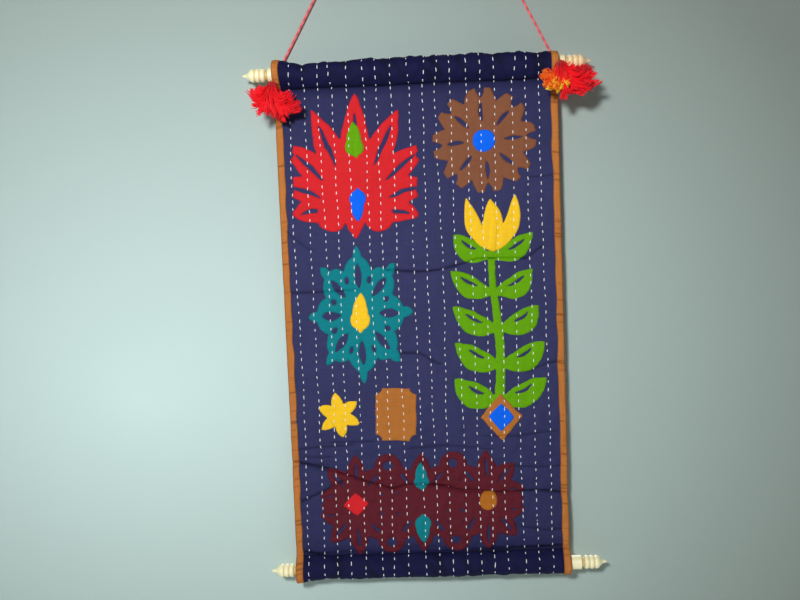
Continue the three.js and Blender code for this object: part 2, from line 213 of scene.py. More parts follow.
def puckers(x, v):
    """Fine relief out of the cloth: a shallow channel along each row of stitches, deepest
    where the thread dips, small gathers between rows, and drags across the casings."""
    row = np.clip(np.round((x - FIRST_ROW) / ROW_STEP), 0, ROWS - 1).astype(int)
    across = (x - row_x(row, v)) / (2.2 * MM)
    dip = 0.75 + 0.25 * np.cos(6.2832 * v / STITCH_STEP + row)
    channel = -0.42 * MM * np.exp(-across * across) * dip
    gathers = 0.26 * MM * ripples(x, v, 3, 34 * MM, 9 * MM) + 0.12 * MM * ripples(x, v, 6, 14 * MM, 5 * MM)
    gathers = gathers * (1 + 0.8 * smoothstep(v, 0.45 * PANEL, 0.85 * PANEL))
    drape = 0.35 * MM * ripples(x, v, 4, 90 * MM, 55 * MM)
    seams = -MM * (0.8 * np.exp(-((v / (1.5 * MM)) ** 2)) + 1.5 * np.exp(-(((v - PANEL) / (1.3 * MM)) ** 2)))
    on_casing = smoothstep(-v, 0, 12 * MM) + smoothstep(v - PANEL, 0, 12 * MM)
    drags = 0.4 * ripples(x - 0.6 * v, v, 5, 22 * MM, 70 * MM)
    drags = drags + 0.3 * ripples(x + 0.8 * v, v, 7, 9 * MM, 40 * MM)
    drags = drags * MM * on_casing * (1.5 - (v > PANEL))
    return channel + gathers + drape + drags + seams


def relief(x, v):
    """The puckers, with each hem taking those of the panel it is sewn to, turned over, so
    that the two lie together; they change over in the last few mm of the casing."""
    behind_top = smoothstep(-v, CASING_GIRTH - 8 * MM, CASING_GIRTH)
    behind_low = smoothstep(v - PANEL, CASING_GIRTH - 8 * MM, CASING_GIRTH)
    top_hem = puckers(x, np.maximum(-v - CASING_GIRTH, 0))
    low_hem = puckers(x, PANEL - np.maximum(v - PANEL - CASING_GIRTH, 0))
    return puckers(x, v) * (1 - behind_top - behind_low) - top_hem * behind_top - low_hem * behind_low


def cloth_at(x, v, lift=0.0):
    """Places on the cloth, raised by lift from its middle surface on its outer side: the
    smooth surface plus its relief along the normal, in the shared frame."""
    nudge = 0.4 * MM
    x, v = np.broadcast_arrays(x, v)
    across = smooth_cloth(x + nudge, v) - smooth_cloth(x - nudge, v)
    along = smooth_cloth(x, v + nudge) - smooth_cloth(x, v - nudge)
    normal = -np.cross(across, along)
    normal /= np.linalg.norm(normal, axis=-1, keepdims=True)
    return ORIGIN + smooth_cloth(x, v) + normal * (relief(x, v) + lift)[..., None]


def grid_quads(rows, columns, closed=False):
    """Corner numbers of the quads of a grid of rows by columns, stored row by row; closed
    joins the last column to the first."""
    row = np.arange(rows - 1)[:, None]
    column = np.arange(columns if closed else columns - 1)[None, :]
    right = (column + 1) % columns
    low, high = row * columns, (row + 1) * columns
    corners = [low + column, low + right, high + right, high + column]
    corners = [np.broadcast_to(c, (rows - 1, column.size)) for c in corners]
    return np.stack(corners, -1).reshape(-1, 4)


def new_piece(name, points, quads, triangles=(), uv=None, **values):
    """A mesh object from arrays of points, quads and triangles. uv is a place for each point
    and values are numbers for each point, stored as attributes."""
    points = np.asarray(points, float).reshape(-1, 3)
    quads = np.asarray(quads, int).reshape(-1, 4)
    triangles = np.asarray(triangles, int).reshape(-1, 3)
    loops = np.concatenate([quads.ravel(), triangles.ravel()])
    sizes = np.concatenate([np.full(len(quads), 4), np.full(len(triangles), 3)])
    mesh = bpy.data.meshes.new(name)
    mesh.vertices.add(len(points))
    mesh.vertices.foreach_set("co", points.ravel())
    mesh.loops.add(len(loops))
    mesh.loops.foreach_set("vertex_index", loops)
    mesh.polygons.add(len(sizes))
    mesh.polygons.foreach_set("loop_start", np.concatenate([[0], np.cumsum(sizes)[:-1]]))
    mesh.polygons.foreach_set("use_smooth", np.full(len(sizes), True))
    if uv is not None:
        layer = mesh.uv_layers.new(name="cut")
        layer.data.foreach_set("uv", np.asarray(uv, float).reshape(-1, 2)[loops].ravel())
    for key, value in values.items():
        attribute = mesh.attributes.new(key, "FLOAT", "POINT")
        attribute.data.foreach_set("value", np.asarray(value, float).ravel())
    mesh.update(calc_edges=True)
    mesh.validate()
    piece = bpy.data.objects.new(name, mesh)
    bpy.context.scene.collection.objects.link(piece)
    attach(piece, "root")
    return piece


class Shade:
    """A socket in one material's node tree, so that shader maths is written as sums."""

    def __init__(self, tree, socket=None):
        self.tree, self.socket = tree, socket

    def node(self, kind, settings=None, inputs=None, output=0):
        """Adds any node: its settings first, then a value or a Shade for each input."""
        node = self.tree.nodes.new(kind)
        for key, value in (settings or {}).items():
            setattr(node, key, value)
        for key, value in (inputs or {}).items():
            if isinstance(value, Shade):
                self.tree.links.new(value.socket, node.inputs[key])
            else:
                node.inputs[key].default_value = value
        return Shade(self.tree, node.outputs[output])

    def maths(self, operation, *values):
        return self.node("ShaderNodeMath", {"operation": operation}, dict(enumerate(values)))

    def __add__(self, other):
        return self.maths("ADD", self, other)

    def __sub__(self, other):
        return self.maths("SUBTRACT", self, other)

    def __rsub__(self, other):
        return self.maths("SUBTRACT", other, self)

    def __mul__(self, other):
        return self.maths("MULTIPLY", self, other)

    __radd__, __rmul__ = __add__, __mul__

    def sine(self):
        return self.maths("SINE", self)

    def clamped(self, start, end):
        """0 at start, 1 at end, held between."""
        sockets = {"From Min": start, "From Max": end, "Value": self}
        return self.node("ShaderNodeMapRange", {"clamp": True}, sockets)

    def blend(self, first, second):
        """A colour between first and second by this value."""
        sockets = {0: self, 6: first, 7: second}
        return self.node("ShaderNodeMix", {"data_type": "RGBA"}, sockets, 2)

    def noise(self, place, scale, detail=2.0):
        sockets = {"Vector": place, "Scale": scale, "Detail": detail}
        return self.node("ShaderNodeTexNoise", None, sockets)

    def stretched(self, place, scale):
        """A place scaled by its own amount along each axis."""
        return self.node("ShaderNodeMapping", None, {"Vector": place, "Scale": scale})

    def bump(self, height, distance, strength=1.0):
        sockets = {"Height": height, "Distance": distance, "Strength": strength}
        return self.node("ShaderNodeBump", None, sockets)

    def attribute(self, name):
        """A number stored for each point of the piece."""
        return self.node("ShaderNodeAttribute", {"attribute_name": name}, None, 2)

    def parts(self, place):
        """The three numbers of a place."""
        split = self.node("ShaderNodeSeparateXYZ", None, {0: place}).socket.node
        return [Shade(self.tree, split.outputs[i]) for i in range(3)]


def new_material(name, roughness, **constants):
    """A material, the start of its node expressions, and a call that links its surface."""
    material = bpy.data.materials.new(name)
    material.use_nodes = True
    tree = material.node_tree
    surface = tree.nodes["Principled BSDF"]
    surface.inputs["Roughness"].default_value = roughness
    for key, value in constants.items():
        surface.inputs[key.replace("_", " ")].default_value = value

    def link(**shades):
        for key, shade in shades.items():
            tree.links.new(shade.socket, surface.inputs[key.replace("_", " ")])
        return material

    return Shade(tree), link


THREAD = 0.55 * MM  # from one thread of the weave to the next but one


def faded(colour, share):
    """A colour (linear red, green, blue) made lighter or darker, with its alpha."""
    return (*(min(1.0, c * share) for c in colour), 1.0)


def cotton(name, colour, contrast, creased=None, casing_shade=None):
    """Plain-weave cotton on the piece's own cut coordinates: a fine over-and-under relief, threads that
    differ a little in tone, and soft patches where the dye took unevenly. The piece's crease attribute brings
    in the colour creased as painted shade. With the last colour, painted shade darkens the casings at the
    panel's two ends and fades out into the panel near them."""
    shade, link = new_material(name, 0.75, Specular_IOR_Level=0.15)
    cut = shade.node("ShaderNodeUVMap", {"uv_map": "cut"})
    across, v, _ = shade.parts(cut)
    weave = (across * (6.2832 / THREAD)).sine() * (v * (6.2832 / THREAD)).sine()
    warp = shade.noise(shade.stretched(cut, (900, 40, 1)), 1.0)
    weft = shade.noise(shade.stretched(cut, (40, 900, 1)), 1.0)
    patch = shade.noise(cut, 22.0, 4.0)
    tone = (warp + weft) * 0.35 + patch * 0.3 + weave * 0.02
    base = tone.clamped(0.3, 0.75).blend(faded(colour, 1 - contrast), faded(colour, 1 + contrast))
    # Painted shade: the casings darken to the last colour, and the panel darkens a little towards them.
    if casing_shade:
        ends = v.clamped(12 * MM, -4 * MM) + v.clamped(PANEL - 12 * MM, PANEL + 4 * MM)
        near_ends = v.clamped(110 * MM, 10 * MM) + v.clamped(PANEL - 200 * MM, PANEL - 10 * MM)
        base = (ends * 0.65 + near_ends * 0.35).blend(base, (*casing_shade, 1))
    # Painted shade in creases, seams and pleats, carried by the crease attribute.
    if creased:
        base = shade.attribute("crease").blend(base, (*creased, 1))
    relief = weave * 0.5 + (warp + weft) * 0.6 + shade.noise(cut, 160.0) * 1.2
    return link(Base_Color=base, Normal=shade.bump(relief, 0.14 * MM, 0.55))


def dye(red, green, blue):
    """A colour given as screen values 0..255, as linear light."""
    share = np.array([red, green, blue]) / 255
    return tuple(np.where(share < 0.04045, share / 12.92, ((share + 0.055) / 1.055) ** 2.4).tolist())


# The second navy is painted shade for the casings.
NAVY, CASING_SHADE_NAVY = dye(51, 53, 94), dye(17, 17, 60)

columns = np.linspace(-1, 1, 117) * (HALF_WIDTH - 1.4 * MM)
casing_rows = np.linspace(0, CASING_GIRTH, 47)
hem_rows = np.linspace(0, HEM, 4)[1:]

# Down the panel the rows of the mesh are closer where a thin crease crosses.
places = np.arange(0, PANEL, 0.05 * MM)
spans = [np.array(line)[:, 1] * -MM - NECK for _, width, line in CREASES if width < 3]
creased = np.any([(places > span.min() - 4 * MM) & (places < span.max() + 4 * MM) for span in spans], axis=0)
passed = np.cumsum(np.where(creased, 1 / 1.1, 1 / 3.2)) * 0.05
panel_rows = np.interp(np.linspace(0, passed[-1], int(passed[-1]) + 2), passed, places)
panel_rows[-1] = PANEL
v_rows = np.concatenate([
    -CASING_GIRTH - hem_rows[::-1],
    -casing_rows[:0:-1],
    panel_rows,
    PANEL + casing_rows[1:],
    PANEL + CASING_GIRTH + hem_rows,
])
cut_v, cut_x = np.meshgrid(v_rows, columns, indexing="ij")


def closed_solid(outer_points, inner_points, quads):
    """Points and quads of a thin closed solid: the outer sheet's quads, the same on the
    inner points turned over, and a quad on every outer edge that only one quad has."""
    outer_points, inner_points = outer_points.reshape(-1, 3), inner_points.reshape(-1, 3)
    total = len(outer_points)
    starts, ends = quads.ravel(), np.roll(quads, -1, axis=1).ravel()
    open_edge = ~np.isin(ends * total + starts, starts * total + ends)
    starts, ends = starts[open_edge], ends[open_edge]
    skirt = np.stack([ends, starts, starts + total, ends + total], -1)
    quads = np.concatenate([quads, quads[:, ::-1] + total, skirt])
    return np.concatenate([outer_points, inner_points]), quads


cloth_points, cloth_quads = closed_solid(
    cloth_at(cut_x, cut_v, CLOTH_THICK / 2),
    cloth_at(cut_x, cut_v, -CLOTH_THICK / 2),
    grid_quads(*cut_x.shape)[:, ::-1],
)
cut_uv = np.tile(np.stack([cut_x, cut_v], -1).reshape(-1, 2), (2, 1))
on_panel = (cut_v > 0) & (cut_v < PANEL)
# Painted shade for each place: in the seams of the casings, in the folds along them and in the panel's thin
# creases.
seam_shade = 0.7 * np.exp(-(((cut_v + 2 * MM) / (3 * MM)) ** 2))
seam_shade = seam_shade + 0.7 * np.exp(-(((cut_v - PANEL - MM) / (2 * MM)) ** 2))
# Painted shade in the valleys of the casings' drags.
folded = np.clip(-0.7 * ripples(cut_x - 0.6 * cut_v, cut_v, 5, 22 * MM, 70 * MM) - 0.2, 0, 0.6)
painted_cloth_shade = np.where(on_panel, crease_shade(cut_x, -NECK - cut_v), np.maximum(seam_shade, folded)).ravel()
ground_cloth = new_piece("ground_cloth", cloth_points, cloth_quads, uv=cut_uv, crease=np.tile(painted_cloth_shade, 2))
# Its last two colours are painted shade: in creases and seams, and over the casings.
ground_cloth.data.materials.append(cotton("navy cotton", NAVY, 0.22, dye(10, 9, 34), CASING_SHADE_NAVY))
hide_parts("cloth")

# ---- Applique patches ---------------------------------------------------------------
# Bright cotton shapes laid on the ground cloth, their edges turned under and sewn down by
# hand, so that each stands a little proud with a rounded, slightly uneven rim. Small
# patches lie on large ones.

PATCH_THICK = 0.75 * MM
PATCH_RIM = 1.5 * MM  # how far in from its edge a patch reaches its full thickness

# The shapes below work in mm round their own middle, u across and w up, and give the
# signed distance to the edge, which is below 0 inside.


def disc(u, w, radius, at=(0, 0)):
    """A round patch."""
    return np.hypot(u - at[0], w - at[1]) - radius


def leaf(u, w, start, end, width, bend=0.0):
    """A pointed leaf: where two discs whose rims meet at start and end overlap. bend moves
    its middle sideways along a parabola."""
    start, end = np.array(start), np.array(end)
    length = np.hypot(*(end - start))
    along_u, along_w = (end - start) / length
    from_u, from_w = u - (start[0] + end[0]) / 2, w - (start[1] + end[1]) / 2
    along = from_u * along_u + from_w * along_w
    across = from_w * along_u - from_u * along_w - bend * (1 - (2 * along / length) ** 2)
    radius = (length**2 + width**2) / (4 * width)
    return np.hypot(along, np.abs(across) + radius - width / 2) - radius


def lozenge(u, w, half_width, half_height):
    """A diamond: the sum of its two shares of the half sizes, scaled to a distance."""
    slope = half_width * half_height / np.hypot(half_width, half_height)
    return (np.abs(u) / half_width + np.abs(w) / half_height - 1) * slope


def joined(*shapes):
    return np.minimum.reduce(shapes)


def without(shape, *holes):
    return np.maximum.reduce([shape, *(-hole for hole in holes)])


def fan(u, w, reach, spread, count, width, slit, side_share):
    """Leaves fanned from the middle: the nth points along its share of the spread, the side
    ones shorter and bent outward, each with a slit along its middle."""
    shape, slits = [], []
    for share in np.linspace(-1, 1, count):
        turn = np.radians(share * spread)
        tip = reach * (1 - (1 - side_share) * abs(share) ** 1.4) * np.array([np.sin(turn), np.cos(turn)])
        shape.append(leaf(u, w, (0, 0), tip, width, 5 * share))
        slits.append(leaf(u, w, 0.42 * tip, 0.86 * tip, slit, 2 * share))
    return without(joined(*shape), *slits)


def lotus(u, w):
    """A lotus palmette: nine slit leaves over two scrolls and a short pointed foot."""
    side = np.abs(u)
    scroll = without(disc(side, w, 16, (25, -57)), disc(side, w, 5.5, (27, -56)))
    foot = leaf(u, w, (0, -36), (0, -80), 20)
    return joined(fan(u, w + 50, 124, 94, 9, 31, 4.6, 0.56), scroll, foot)


def one_share(u, w, count):
    """Distance from the middle, and the place turned into the upright one of count shares."""
    half = np.pi / count
    turn = (np.arctan2(u, w) + half) % (2 * half) - half
    out = np.hypot(u, w)
    return out, out * np.sin(turn), out * np.cos(turn)


def rosette(u, w):
    """Eight petals, alike in each eighth of the round, with a notch in every tip."""
    out, u, w = one_share(u, w, 8)
    petal = np.maximum(leaf(u, w, (0, -4), (0, 70), 34), out - 55)
    notch = leaf(u, w, (0, 45), (0, 66), 9)
    return joined(without(petal, notch, leaf(u, w, (0, 20), (0, 41), 4)), out - 17)


def branch(u, w):
    """An upright stem with five pairs of leaves that rise and bend outward."""
    u = u + 4 * np.sin(w / 34)
    side, stem = np.abs(u), np.maximum(np.abs(u) - 4.4 + w * 0.012, np.abs(w) - 104)
    feet = range(-96, 66, 39)
    pairs = [leaf(side, w, (0, foot), (50 - 2 * i, foot + 26), 27 - i, -6) for i, foot in enumerate(feet)]
    veins = [leaf(side, w, (15, foot + 9), (35, foot + 20), 3.2, -2) for foot in feet]
    return joined(stem, without(joined(*pairs), *veins))


def medallion(u, w):
    """A tall round of eight lobes, pierced by eight leaves and a ring of short slots."""
    out, u, w = one_share(u, w * 0.76, 8)
    lobes = joined(disc(u, w, 15, (0, 33)), out - 33, leaf(u, w, (0, 40), (0, 57), 9))
    return without(lobes, leaf(u, w, (0, 21), (0, 42), 7), disc(np.abs(u), w, 3.4, (13, 28)))


def arcade(u, w):
    """A band of three lotus flowers up and three down from one bar, with scrolls between
    them and a pointed leaf at each end."""
    w, side = np.abs(w), np.abs(u)
    middle = fan(u, w - 2, 54, 78, 5, 23, 3.2, 0.78)
    outer = fan(side - 71, w - 2, 54, 78, 5, 23, 3.2, 0.78)
    scroll = without(disc(side, w, 15, (35.5, 40)), disc(side, w, 5, (35.5, 42)))
    stalk = leaf(side, w, (35.5, -4), (35.5, 40), 15)
    end = leaf(side, w, (86, 0), (111, 0), 20)
    bar = np.maximum(w - 10, side - 97)
    return joined(middle, outer, scroll, stalk, end, bar)


def tulip(u, w):
    """Three petals on one foot, the outer two bent outward."""
    side = np.abs(u)
    return joined(leaf(u, w, (0, -30), (0, 27), 21), leaf(side, w, (0, -30), (26, 30), 17, -7))


def star(u, w):
    """Six short leaves round a small disc."""
    out, u, w = one_share(u, w, 6)
    return joined(leaf(u, w, (0, -2), (0, 25), 13), out - 9)


def tablet(u, w):
    """An upright rectangle with its corners scooped out."""
    block = np.maximum(np.abs(u) - 22, np.abs(w) - 29)
    return without(block, disc(np.abs(u), np.abs(w), 7, (22, 29)))


def drop(u, w, width, height):
    """A leaf with a round lower end."""
    point = leaf(u, w, (0, -height / 2), (0, height / 2), width * 0.8)
    return joined(point, disc(u, w, width / 2, (0, -height * 0.17)))


COLOURS = {
    "red": dye(210, 33, 40),
    "brown": dye(130, 80, 55),
    "teal": dye(4, 124, 134),
    "green": dye(98, 161, 0),
    "tan": dye(176, 108, 46),
    "maroon": dye(91, 25, 38),
    "yellow": dye(246, 196, 34),
    "blue": dye(0, 100, 238),
    "orange": dye(176, 104, 28),
}

# Each patch in the order it is laid: colour, shape and the shape's own sizes, half sizes,
# then where its middle is on the cloth in mm and how many degrees it leans.
PATCHES = [
    ("red", lotus, (), (66, 84), (-67, -96), -2),
    ("brown", rosette, (), (58, 58), (71, -78), 4),
    ("teal", medallion, (), (58, 76), (-68, -258), 1),
    ("green", branch, (), (58, 108), (78, -262), -1),
    ("tan", lozenge, (23, 26), (26, 29), (80, -374), 2),
    ("tan", tablet, (), (24, 31), (-34, -368), -2),
    ("maroon", arcade, (), (112, 58), (-9, -466), 0.5),
    ("yellow", tulip, (), (32, 34), (77, -166), 2),
    ("yellow", star, (), (27, 27), (-96, -367), 8),
    ("yellow", drop, (21, 46), (13, 25), (-68, -256), -3),
    ("blue", disc, (12,), (14, 14), (71, -78), 0),
    ("blue", lozenge, (14, 16), (16, 18), (80, -374), -3),
    ("blue", drop, (18, 36), (12, 20), (-66, -140), 178),
    ("green", drop, (20, 40), (12, 22), (-67, -72), 2),
    ("orange", disc, (10,), (12, 12), (63, -466), 0),
    ("red", lozenge, (14, 13), (16, 15), (-81, -466), 4),
    ("teal", drop, (17, 33), (11, 19), (-9, -438), 2),
    ("teal", drop, (17, 33), (11, 19), (-9, -494), 181),
]


laid = []  # a function of x and z for each patch laid so far, giving how far it rises


def laid_height(x, z):
    """How far all the patches laid so far stand above the ground cloth's face."""
    return sum((rise(x, z) for rise in laid), np.zeros(np.broadcast(x, z).shape))


def rim_rise(distance):
    """A patch's rise at its signed distance in metres: a quarter round at the rim."""
    inward = np.clip(-distance / PATCH_RIM, 0, 1)
    return PATCH_THICK * np.sqrt(1 - (1 - inward) ** 2)


def cut_patch(shape, sizes, half_sizes, middle, degrees, seed):
    """One patch: a 1 mm grid whose cells outside the shape are dropped, its rim moved down
    the slope of the distance on to the edge, laid on the cloth over what is there."""
    lean = np.radians(degrees)
    cos, sin = np.cos(lean), np.sin(lean)

    def distance(u, w):
        """The shape's distance, waved by half a millimetre as scissors leave it."""
        wave_u, wave_w = (0.5 * ripples(u, w, seed + i, 34, 34) for i in (0, 1))
        return shape(u + wave_u, w + wave_w, *sizes)

    def rise(x, z):
        """The patch's rise at a place on the hanging."""
        across, up = x / MM - middle[0], z / MM - middle[1]
        return rim_rise(distance(across * cos + up * sin, up * cos - across * sin) * MM)

    across, up = (np.arange(-half, half + 1) * 1.0 for half in half_sizes)
    u, w = np.meshgrid(across, up)
    within = distance(u, w) < 0.4
    keep = within[:-1, :-1] & within[:-1, 1:] & within[1:, :-1] & within[1:, 1:]
    keep[1:, 1:] &= ~(keep[:-1, :-1] & keep[1:, 1:] & ~keep[:-1, 1:] & ~keep[1:, :-1])
    keep[1:, :-1] &= ~(keep[:-1, 1:] & keep[1:, :-1] & ~keep[:-1, :-1] & ~keep[1:, 1:])
    padded = np.pad(keep, 1).astype(int)
    around = padded[:-1, :-1] + padded[:-1, 1:] + padded[1:, :-1] + padded[1:, 1:]
    rim, nudge = (around > 0) & (around < 4), 0.05
    for _ in range(4):
        slope_u = (distance(u + nudge, w) - distance(u - nudge, w)) / (2 * nudge)
        slope_w = (distance(u, w + nudge) - distance(u, w - nudge)) / (2 * nudge)
        move = rim * np.clip(distance(u, w), -0.6, 0.6) / np.maximum(slope_u**2 + slope_w**2, 0.4)
        u, w = u - move * slope_u, w - move * slope_w
    x, z = (middle[0] + u * cos - w * sin) * MM, (middle[1] + u * sin + w * cos) * MM
    under = CLOTH_THICK / 2 + laid_height(x, z)
    top = under + np.where(rim, 0, rim_rise(distance(u, w) * MM)) + 0.03 * MM
    quads = grid_quads(*u.shape)[keep.ravel()]
    used, quads = np.unique(quads, return_inverse=True)
    top, bottom = (cloth_at(x, -NECK - z, lift).reshape(-1, 3)[used] for lift in (top, under - 0.1 * MM))
    points, quads = closed_solid(top, bottom, quads.reshape(-1, 4))
    uv = np.stack([u * MM + 0.01 * seed, w * MM], -1).reshape(-1, 2)[used]
    laid.append(rise)
    return points, quads, np.tile(uv, (2, 1))


cut = {}
for number, (name, *placing) in enumerate(PATCHES):
    cut.setdefault(name, []).append(cut_patch(*placing, seed=20 + 2 * number))

for name, parts in cut.items():
    points, quads, uv = zip(*parts)
    starts = np.cumsum([0, *map(len, points)])
    quads = [these + start for these, start in zip(quads, starts)]
    piece = new_piece(f"patches_{name}", np.concatenate(points), np.concatenate(quads), uv=np.concatenate(uv))
    piece.data.materials.append(cotton(f"{name} cotton", COLOURS[name], 0.12))

# ---- Running stitch -----------------------------------------------------------------
# White cotton thread runs up and down the whole cloth in eighteen rows, through patches
# and casings alike. Each stitch sinks into the cloth at both ends, and between two of them
# the thread shows on the back.

STITCH_LENGTH = 3.8 * MM
STITCH_WIDTH = 0.85 * MM
STITCH_HEIGHT = 0.85 * MM


def closed_rings(skin):
    """Points, quads and end triangles of many closed skins (skin, ring, side, xyz), each with
    a point in the middle of its first and last ring."""
    count, rings, sides = skin.shape[:3]
    points = np.concatenate([skin.reshape(count, -1, 3), skin[:, [0, -1]].mean(2)], axis=1)
    first = (np.arange(count) * points.shape[1])[:, None, None]
    quads = grid_quads(rings, sides, closed=True)[None] + first
    side = np.arange(sides)
    after, last = (side + 1) % sides, (rings - 1) * sides
    start = np.stack([after, side, np.full(sides, rings * sides)], -1)
    end = np.stack([last + side, last + after, np.full(sides, rings * sides + 1)], -1)
    caps = np.concatenate([start, end])[None] + first
    return points.reshape(-1, 3), quads.reshape(-1, 4), caps.reshape(-1, 3)


def stitches(side, seed):
    """Points, quads and triangles of every stitch on one side of the cloth, 1 for the face
    and -1 for the back: an arched thread, oval across, that leans a little."""
    draw = np.random.default_rng(seed)
    row = np.arange(ROWS)[:, None]
    count = int((PANEL + 2 * CASING_GIRTH) / STITCH_STEP) - 1
    v = -CASING_GIRTH + (np.arange(count)[None] + 0.5 + 0.5 * (side < 0)) * STITCH_STEP
    v = v + draw.uniform(0, 0.8, (ROWS, 1)) * STITCH_STEP + draw.normal(0, 0.5 * MM, (ROWS, count))
    row, v = np.broadcast_to(row, v.shape).ravel(), v.ravel()
    length = STITCH_LENGTH * draw.normal(1, 0.13, v.size)
    lean = draw.normal(0, 0.06, v.size) + draw.normal(0, 0.25 * MM, v.size) / STITCH_LENGTH
    share = np.linspace(-1, 1, 5)[None, :, None]
    angle = (np.pi / 3 * np.arange(6))[None, None, :]
    along = share * length[:, None, None] / 2
    plump = np.sqrt(1 - 0.75 * share**4)
    centre_x = row_x(row, v)[:, None, None] + lean[:, None, None] * along
    stitch_v = v[:, None, None] + along
    x = centre_x + STITCH_WIDTH / 2 * plump * np.cos(angle)
    z = -NECK - stitch_v
    on_panel = (stitch_v > 0) & (stitch_v < PANEL) & (side > 0)
    from_seam = np.minimum(stitch_v, PANEL - stitch_v)
    on_hem = smoothstep(-from_seam, -HEM - 1.5 * MM, -HEM) * (from_seam > 0) * (side < 0)
    under = CLOTH_THICK / 2 + np.where(on_panel, laid_height(centre_x, z), 0) + 0.9 * MM * on_hem
    lift = under + 0.18 * MM - 0.55 * MM * share**4 + STITCH_HEIGHT / 2 * plump * np.sin(angle)
    points, quads, caps = closed_rings(cloth_at(x, np.broadcast_to(stitch_v, x.shape), side * lift))
    if side < 0:
        quads, caps = quads[:, ::-1], caps[:, ::-1]
    uv = np.stack(np.broadcast_arrays(angle * 0.2 * MM, along), -1).reshape(len(v), -1, 2)
    return points, quads, caps, np.concatenate([uv, uv[:, :1], uv[:, -1:]], axis=1)


def yarn_like(name, colour, light, twist=900):
    """Spun fibres: slanting plies along the thread, streaks and a soft fuzz."""
    shade, link = new_material(name, 0.8, Sheen_Weight=0.25, Sheen_Roughness=0.5)
    cut = shade.node("ShaderNodeUVMap", {"uv_map": "cut"})
    around, along, _ = shade.parts(cut)
    ply = (along * twist + around * 3).sine()
    fuzz = shade.noise(shade.node("ShaderNodeTexCoord", None, None, 3), 1400.0)
    base = (ply * 0.16 + fuzz).clamped(0.2, 0.75).blend((*colour, 1.0), (*light, 1.0))
    return link(Base_Color=base, Normal=shade.bump(ply * 0.5 + fuzz, 0.15 * MM, 0.6))


thread = yarn_like("white thread", dye(238, 238, 240), dye(255, 255, 255), 5200)
for name, side in (("running_stitch_face", 1), ("running_stitch_back", -1)):
    points, quads, caps, uv = stitches(side, 31 + side)
    piece = new_piece(name, points, quads, caps, uv=uv)
    piece.data.materials.append(thread)

# ---- Side bindings ------------------------------------------------------------------
# A tan cotton strip is folded over each side edge from casing to casing, round the mouths
# of both casings, with its raw edges turned under.

BINDING_WIDTH = 7.8 * MM
BINDING_FOLD = 1.1 * MM  # thickness of the folded strip on either face

binding_v = np.linspace(-CASING_GIRTH, PANEL + CASING_GIRTH, 721)
edge_in, edge_out, fold = HALF_WIDTH - BINDING_WIDTH, HALF_WIDTH, BINDING_FOLD + CLOTH_THICK / 2
wrap_x = [0, 0.25, 1.3, 3.8, 6.2, 7.4, 7.8, 7.4, 6.2, 3.8, 1.3, 0.25, 0, 0.3, 3.2, 6.3, 6.3, 3.2, 0.3]
wrap_x = np.array(wrap_x) * MM + edge_in
over = [0.4, 0.8, 0.98, 1, 0.98, 0.7]  # the strip's face from its inner edge to its outer one
wrap_lift = np.array([*over, 0, *(-share for share in over[::-1]), *[-0.28] * 3, *[0.28] * 3]) * fold
# The last colour is painted shade for the strip's edges and pleats.
binding_material = cotton("tan binding", dye(184, 114, 54), 0.2, dye(106, 56, 24))
for side, node in ((-1, "binding_left"), (1, "binding_right")):
    v, x = np.meshgrid(binding_v, wrap_x, indexing="ij")
    waver = 0.5 * MM * ripples(v, 0 * v, 50 + side, 70 * MM, 1) * (wrap_x < edge_in + 2 * MM)
    wrinkle = 0.2 * MM * ripples(x, v, 52 + side, 16 * MM, 7 * MM)
    # Painted shade: a dark line along the strip's inner and outer edges, and in each pleat, stored as the
    # crease attribute.
    crease = 0.45 * (np.abs(wrap_x - edge_in) < 0.5 * MM) + 0.4 * (wrap_x > edge_out - 0.5 * MM) + 0 * v
    for pleat in np.random.default_rng(54 + side).uniform(-20 * MM, PANEL + 20 * MM, 34):
        across = (v - pleat - 0.15 * (x - edge_in)) / (0.8 * MM)
        tuck = np.exp(-across * across) * (0.3 + 0.7 * np.sin(pleat * 9000) ** 2)
        wrinkle -= 0.85 * MM * tuck
        crease = np.maximum(crease, 0.75 * tuck)
    lift = wrap_lift + np.sign(wrap_lift) * wrinkle * (np.abs(wrap_lift) > 0.3 * fold)
    points = cloth_at(side * (x + waver), v, lift).reshape(-1, 3)
    rings, around = v.shape
    pairs, last = np.arange(around // 2 - 1), (rings - 1) * around
    caps = np.stack([pairs, pairs + 1, around - 2 - pairs, around - 1 - pairs], -1)
    corner = np.arange(around // 2 - 1, around // 2 + 2)[None]
    quads = np.concatenate([grid_quads(rings, around, closed=True), caps[:, ::-1], caps + last])
    corners = np.concatenate([corner[:, ::-1], corner + last])
    uv = np.stack([np.broadcast_to(np.linspace(0, 22 * MM, around), v.shape), v], -1)
    if side > 0:
        quads, corners = quads[:, ::-1], corners[:, ::-1]
    piece = new_piece(f"{node}_strip", points, quads, corners, uv=uv, crease=crease)
    piece.data.materials.append(binding_material)
    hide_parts(node)

PANEL + 2 * (CASING_GIRTH + HEM)

# ---- Hanger cord --------------------------------------------------------------------
# Three red strands twisted together. It lies over the nail, and each end comes down behind
# the mouth of the casing and passes under the top rod into the yarn of its pompom.

CORD = 2.6 * MM
CORD_LAY = 8.5 * MM  # length of one full twist
CORD_RED = dye(208, 45, 58)
NAIL = 3 * MM
HANG_X, HANG_Y, HANG_Z = -ORIGIN  # the nail's top, in the hanging's frame
CORD_OUT, CORD_TURN = 151.7, 9.34  # of the turn under the rod in mm: how far out, and its radius

